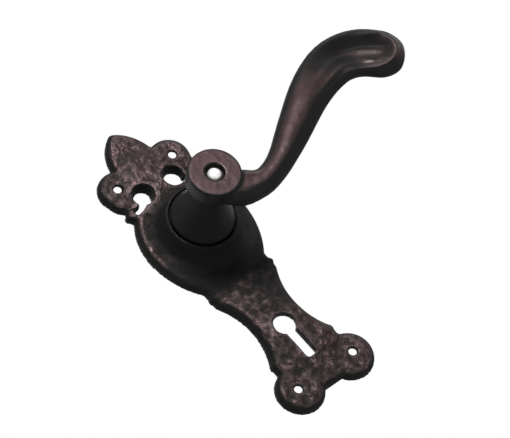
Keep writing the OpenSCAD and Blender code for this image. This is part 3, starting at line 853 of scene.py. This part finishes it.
@dataclass
class Handle(Casting):
    """Cast lever: smooth boss and arm, dark neck and bell, and an end hollowed like a spoon."""

    node: str = "lever_handle"
    body: str = "lever"
    slot: str = "lever_iron"
    voxel: float = 0.40 * MM
    # Painted light turned towards the key lamp, so the lit brown follows its highlight on the arm
    lit_between: Span = (0.86, 0.98)
    light_from: Row = (-0.15, -0.96, 0.22)
    layers: tuple[Relief, ...] = (
        Relief("CLOUDS", 7 * MM, 0.16 * MM, "skin"),
        Relief("CLOUDS", 2.2 * MM, 0.07 * MM, "skin"),
    )
    passes: dict[str, int] = field(default_factory=lambda: {"arm": 4, "skin": 2, "scoop": 7, "bead": 12})
    fine_levels: int = 400
    # Bead round the hollow, in millimetres, from below it round the tip and back along the top
    bead_line: tuple[Place, ...] = (
        (78.0, 9.2), (82.9, 6.7), (86.7, 4.4), (91.2, 1.8), (94.5, 0.2), (97.8, -0.7), (101.5, -0.4),
        (104.6, 1.0), (107.0, 3.2), (108.2, 6.2), (107.9, 9.4), (106.0, 12.7), (102.7, 15.8), (99.2, 18.6),
        (94.5, 21.2), (88.5, 23.6), (80.0, 24.2), (72.0, 22.0),
    )
    bead_points: int = 300
    bead_half_w: float = 1.5
    bead_start: Span = (78.0, 86.0)
    bead_end: Span = (98.0, 104.0)
    bead_top_z: float = 12.0
    spoon_x: float = 76.0
    spoon_y: float = -44.0
    spoon_facing: float = 0.1
    spoon_side: Span = (0.2, 6.0)
    spoon_start: Span = (78.0, 91.0)
    # Ridges and slopes of the hollow, in millimetres
    upper_ridge: Ridge = Ridge((94.0, 12.2), (99.0, 8.2))
    lower_ridge: Ridge = Ridge((92.6, 6.2), (96.4, 3.4))
    ridge_half_w: float = 1.2
    highlight_half_w: float = 0.9
    ridge_rise: Span = (-1.0, 0.4)
    ridge_fall: Span = (1.3, 0.4)
    across_from: Place = (94.5, 12.0)
    across_way: Place = (0.52, 0.856)
    groove_at: float = -3.2
    shelf_x: float = 85.0
    shelf_slope: float = 0.3
    corner: Place = (85.5, 9.5)
    spoon_depth: float = 1.7 * MM
    bead_h: float = 1.1 * MM
    ridge_h: float = 0.9 * MM
    # Where the skin is softened or uneven
    arm: Zone = Zone(1.0, ((RADIUS, 12.5, 17.0), (Y, -15.6, -16.6)))
    uneven: Zone = Zone(1.0, ((Y, -15.6, -16.6), (RADIUS, 3.6, 4.8)), Zone(0.8, ((X, 80.0, 90.0),)))
    scoop: Zone = Zone(1.0, ((X, 80.0, 90.0),))
    spoon_front: Zone = Zone(1.0, ((Y, -44.0, -46.0),))
    # Where the iron is waxed black, worn or shiny from use, where shade is painted dark, and where highlights
    # are painted
    worn_tip: Zone = Zone(0.55, ((X, 101.0, 107.0), (Z, -5.0, 1.0), (FRONT, -0.4, 0.0)))
    scoop_polish: float = 0.05
    # Painted highlight along the bead, with painted shade over its top
    bead_highlight: float = 0.2
    bead_top_shade: Zone = Zone(0.55, ((Z, 1.0, 7.0),))
    wax_and_shade: dict[str, Zone] = field(default_factory=lambda: {
        "neck": Zone(0.95, ((RADIUS, 17.0, 13.0), (Y, -46.3, -41.3))),
        # Painted shade that dulls the highlight on the boss's edge
        "boss edge": Zone(0.6, ((RADIUS, 10.2, 11.2), (RADIUS, 13.5, 12.5), (Y, -49.0, -50.5))),
        "flank": Zone(0.9, ((RADIUS, 13.0, 20.0), (X, 92.0, 82.0), (Y, -50.7, -49.1))),
        # Painted shade on the upper arm, which narrows its highlight
        "upper arm": Zone(0.35, ((X, 50.0, 75.0), (X, 104.0, 96.0))),
        # Painted shade on the top edge beside the hollow, which dulls its highlight
        "shelf": Zone(0.85, ((X, 72.0, 82.0), (Along.SHELF, 16.0, 20.0))),
        # Painted shade in the hollow: its upper floor, the groove between its ridges and its end near the tip
        "floor": Zone(0.75, ((Along.HOLLOW, 0.1, 0.5), (Along.ACROSS, 0.6, 1.8))),
        "groove": Zone(0.5, ((Along.HOLLOW, 0.1, 0.5), (Along.GROOVE, 1.6, 0.4))),
        "tip": Zone(0.7, ((Along.HOLLOW, 0.1, 0.5), (X, 100.0, 103.0))),
        "corner": Zone(0.8, ((Along.CORNER, 9.0, 4.0), (Y, -44.0, -46.0))),
    })

    def build(self) -> bpy.types.Object:
        """Builds the lever's skin.

        Returns:
            The dressed casting.
        """
        skin = self.solid_copy()
        at = self.measures(skin)
        scoop = self.scoop.weights(at)
        set_group(skin, "arm", self.arm.weights(at))
        set_group(skin, "skin", self.uneven.weights(at))
        set_group(skin, "scoop", scoop)
        self.soften(skin, "arm", "skin", "scoop")
        at = self.measures(skin)
        hollow, bead = self._spoon(at)
        for group, weights in (("hollow", hollow), ("bead", bead), ("ridge", self._low_ridge(at))):
            set_group(skin, group, weights, self.fine_levels)
        self.push(skin, "hollow", self.spoon_depth)
        self.push(skin, "bead", -self.bead_h)
        self.push(skin, "ridge", -self.ridge_h)
        self.soften(skin, "scoop", "bead")
        for layer in self.layers:
            layer.press(skin)
        at = self.measures(skin)
        at[Along.HOLLOW], bead = self._spoon(at)
        black_wax_and_shade = np.maximum(strongest(self.wax_and_shade, at), bead * self.bead_top_shade.weights(at))
        # Gloss from use in the hollow, and painted highlights along the bead and the ridges
        shine = np.max([self.scoop_polish * scoop, self.bead_highlight * bead, self._ridge_highlight(at)], axis=0)
        return self.dress(skin, black_wax_and_shade, shine, self.worn_tip.weights(at), LEVER_IRON)

    def measures(self, skin: bpy.types.Object) -> Measures:
        """Adds the lever's own measures to those of all castings.

        Args:
            skin: Object to measure.

        Returns:
            Values of the measures, without the share of the hollow.
        """
        at = super().measures(skin)
        x, z = at[X], at[Z]
        flat = np.stack([x, z], 1)
        at[Along.ACROSS] = (flat - self.across_from) @ np.array(self.across_way)
        at[Along.GROOVE] = np.abs(at[Along.ACROSS] - self.groove_at)
        at[Along.SHELF] = z + self.shelf_slope * (x - self.shelf_x)
        at[Along.CORNER] = np.hypot(*(flat - self.corner).T)
        return at

    def _low_ridge(self, at: Measures) -> Weights:
        """Weighs the lower ridge of the hollow, which rises towards the end of the lever.

        Args:
            at: Measures of the skin.

        Returns:
            Weights from 0 to 1.
        """
        flat = np.stack([at[X], at[Z]], 1)
        share = self.lower_ridge.share(flat)
        first, full = self.ridge_rise
        rise = np.clip((share - first) / (full - first), 0.0, 1.0) * smooth_between(*self.ridge_fall, share)
        round_off = bell_curve(self.lower_ridge.gap(flat, share), self.ridge_half_w)
        return rise * round_off * self.spoon_front.weights(at)

    def _ridge_highlight(self, at: Measures) -> Weights:
        """Weighs the painted highlights on the two ridges of the hollow.

        Args:
            at: Measures of the skin.

        Returns:
            Weights from 0 to 1.
        """
        flat = np.stack([at[X], at[Z]], 1)
        gaps = [ridge.gap(flat, np.clip(ridge.share(flat), 0.0, 1.0))
                for ridge in (self.upper_ridge, self.lower_ridge)]
        return bell_curve(np.min(gaps, axis=0), self.highlight_half_w) * self.spoon_front.weights(at)

    def _spoon(self, at: Measures) -> tuple[Weights, Weights]:
        """Weighs the hollow in the front of the lever's end and the bead that runs round it.

        Args:
            at: Measures of the skin.

        Returns:
            Weights of the hollow and weights of the bead.
        """
        corners = np.array(self.bead_line)
        walked = np.concatenate([[0.0], np.cumsum(np.hypot(*np.diff(corners, axis=0).T))])
        places = np.linspace(0.0, walked[-1], self.bead_points)
        line = np.stack([np.interp(places, walked, column) for column in corners.T], 1)
        ahead = np.gradient(line, axis=0)
        in_front = (at[X] > self.spoon_x) & (at[Y] < self.spoon_y) & (at[FRONT] > self.spoon_facing)
        near = np.flatnonzero(in_front)
        offset = np.stack([at[X][near], at[Z][near]], 1)[:, None] - line[None]
        gaps = np.hypot(offset[..., 0], offset[..., 1])
        closest = np.argmin(gaps, axis=1)
        rows = np.arange(len(near))
        turn = ahead[closest, 0] * offset[rows, closest, 1] - ahead[closest, 1] * offset[rows, closest, 0]
        inside = gaps[rows, closest] * np.sign(turn)
        bead_x, bead_z = line[closest].T
        top = np.where(bead_z > self.bead_top_z, smooth_between(*self.bead_end, bead_x), 1.0)
        hollow, bead = np.zeros(len(at[X])), np.zeros(len(at[X]))
        hollow[near] = smooth_between(*self.spoon_side, inside)
        hollow[near] *= smooth_between(*self.spoon_start, at[X][near])
        bead[near] = bell_curve(inside, self.bead_half_w) * smooth_between(*self.bead_start, bead_x) * top
        return hollow, bead


# Pieces that keep their CAD mesh


@dataclass
class SpringCase:
    """Turned, pressed and bent pieces of the spring case and the spindle."""

    finishes: dict[str, BareMetal | MouldedPlastic] = field(default_factory=lambda: {
        "spindle": BareMetal("bright_zinc", (0.96, 0.96, 0.95), (0.9, 0.9, 0.9), 0.42, metal=0.3),
        "neck_bush": BareMetal("turned_brass", (0.78, 0.57, 0.25), (0.42, 0.29, 0.12)),
        "thrust_washer": MouldedPlastic("nylon", (0.62, 0.61, 0.56), (0.48, 0.47, 0.43)),
        "drive_cam": BareMetal("pressed_steel", (0.44, 0.44, 0.45), (0.25, 0.24, 0.23), 0.36),
        "return_spring": BareMetal("spring_wire", (0.33, 0.33, 0.34), (0.16, 0.15, 0.15), 0.28),
        "retaining_washer": BareMetal("washer_zinc", (0.62, 0.63, 0.64), (0.42, 0.42, 0.42)),
        "circlip": BareMetal("black_spring_steel", (0.09, 0.09, 0.1), (0.05, 0.05, 0.05), 0.34),
        "rest_stop_pin": BareMetal("ground_pin", (0.6, 0.6, 0.61), (0.4, 0.4, 0.4), 0.22),
        "spring_cover": BareMetal("zinc_sheet", (0.56, 0.57, 0.58), (0.36, 0.36, 0.36), 0.34,
                                  Pattern(500.0, 2.0, 0.6)),
        "cover_screws": BareMetal("screw_zinc", (0.64, 0.64, 0.62), (0.42, 0.41, 0.38)),
    })
    twins: dict[str, str] = field(default_factory=lambda: {"travel_stop_pin": "rest_stop_pin"})
    sharp_from: float = math.radians(32)

    def build(self) -> None:
        """Gives each CAD node its finish."""
        made = {node: finish.material() for node, finish in self.finishes.items()}
        for twin, like in self.twins.items():
            made[twin] = made[like]
        for node, material in made.items():
            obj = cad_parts[node]
            obj.data.materials.clear()
            obj.data.materials.append(material)
            only_active(obj)
            bpy.ops.object.shade_smooth_by_angle(angle=self.sharp_from)
            LOG.info("%s: %s", node, material.name)


# Studio


@dataclass(frozen=True)
class Softbox:
    """Large soft lamp that looks at the handle."""

    name: str
    place: Row
    size: float
    watts: float

    def light(self, target: Vector) -> None:
        """Adds the lamp.

        Args:
            target: Point that the lamp looks at.
        """
        lamp = bpy.data.lights.new(self.name, "AREA")
        lamp.shape, lamp.size, lamp.energy = "SQUARE", self.size, self.watts
        obj = bpy.data.objects.new(self.name, lamp)
        bpy.context.scene.collection.objects.link(obj)
        obj.location = self.place
        obj.rotation_euler = (target - obj.location).to_track_quat("-Z", "Y").to_euler()


@dataclass
class Studio:
    """Pale room, soft lamps and the photograph's camera."""

    right: Row = (0.74789, -0.15974, -0.64431)
    up: Row = (0.49329, -0.51577, 0.70046)
    back: Row = (-0.44421, -0.8417, -0.30694)
    eye: Row = (-0.64455, -1.27084, -0.47181)
    sensor: float = 36.0
    lens: float = 246.41
    clip: Span = (0.05, 30.0)
    target: Row = (0.02, -0.02, 0.0)
    floor_z: float = -0.75
    floor_size: float = 8.0
    floor_tone: Pattern = Pattern(3.0)
    floor_pale: Colour = (0.86, 0.86, 0.86)
    floor_paler: Colour = (0.9, 0.9, 0.9)
    floor_rough: float = 0.8
    floor_seen: float = 0.75
    floor_mirrored: float = 0.15
    white: Colour = (1.0, 1.0, 1.0)
    fill: float = 0.14
    horizon: float = 0.25
    lamps: tuple[Softbox, ...] = (
        Softbox("key", (0.10, -1.15, 0.42), 0.34, 14.0),
        Softbox("top", (0.75, -0.35, 0.95), 0.5, 3.0),
        Softbox("side", (-0.95, -0.75, -0.25), 0.6, 1.2),
        Softbox("right", (1.2, -0.3, 0.15), 0.6, 1.0),
        Softbox("back", (0.4, 1.25, 0.5), 0.7, 9.0),
    )

    def build(self) -> None:
        """Builds the room, the lamps and the camera."""
        self._floor()
        self._world()
        for lamp in self.lamps:
            lamp.light(Vector(self.target))
        self._camera()
        bpy.context.scene.view_settings.view_transform = "Standard"
        LOG.info("studio: %d lamps", len(self.lamps))

    def _floor(self) -> None:
        """Adds a wide pale floor well below the plate, which keeps the part's shadow."""
        bpy.ops.object.select_all(action="DESELECT")
        bpy.ops.mesh.primitive_plane_add(size=self.floor_size, location=(0.0, 0.0, self.floor_z))
        floor = bpy.context.object
        floor.name = "floor"
        paper = bpy.data.materials.new("pale_floor")
        paper.use_nodes = True
        book = NodeBook(paper.node_tree)
        colour = book.mix(book.noise(self.floor_tone), self.floor_pale, self.floor_paler)
        matt = {"Base Color": colour, "Roughness": self.floor_rough}
        lit = book.node("ShaderNodeBsdfPrincipled", inputs=matt)
        glow = book.node("ShaderNodeEmission", inputs={"Color": colour, "Strength": 1.0})
        camera, mirrored = book.rays()
        seen = camera * self.floor_seen + mirrored * self.floor_mirrored
        mixed = book.node("ShaderNodeMixShader", inputs={0: seen.limited(), 1: lit, 2: glow})
        book.node("ShaderNodeOutputMaterial", inputs={"Surface": mixed})
        floor.data.materials.append(paper)

    def _world(self) -> None:
        """Makes the world white where it is seen, or mirrored from behind the part, and else a grey fill."""
        world = bpy.data.worlds.new("pale_room")
        bpy.context.scene.world = world
        world.use_nodes = True
        book = NodeBook(world.node_tree)
        camera, mirrored = book.rays()
        behind = book.node("ShaderNodeSeparateXYZ", inputs={0: book.node("ShaderNodeTexCoord")}, output="Y")
        sweep = (camera + behind.ramp(-self.horizon, self.horizon)).limited()
        share = ((camera + mirrored).limited() * sweep).limited()
        fill, bright = (book.node("ShaderNodeBackground", inputs={"Color": self.white, "Strength": strength})
                        for strength in (self.fill, 1.0))
        mixed = book.node("ShaderNodeMixShader", inputs={0: share, 1: fill, 2: bright})
        book.node("ShaderNodeOutputWorld", inputs={"Surface": mixed})

    def _camera(self) -> None:
        """Sets the camera that was fitted to the photograph."""
        camera = bpy.data.cameras.new("photo_camera")
        camera.sensor_width, camera.lens = self.sensor, self.lens
        camera.clip_start, camera.clip_end = self.clip
        obj = bpy.data.objects.new("photo_camera", camera)
        bpy.context.scene.collection.objects.link(obj)
        obj.matrix_world = Matrix((*zip(self.right, self.up, self.back, self.eye), (0.0, 0.0, 0.0, 1.0)))
        bpy.context.scene.camera = obj


def main() -> None:
    logging.basicConfig(level=logging.INFO, format="%(name)s: %(message)s")
    LockPlate().build()
    Handle().build()
    SpringCase().build()
    Studio().build()


if __name__ == "__main__":
    main()
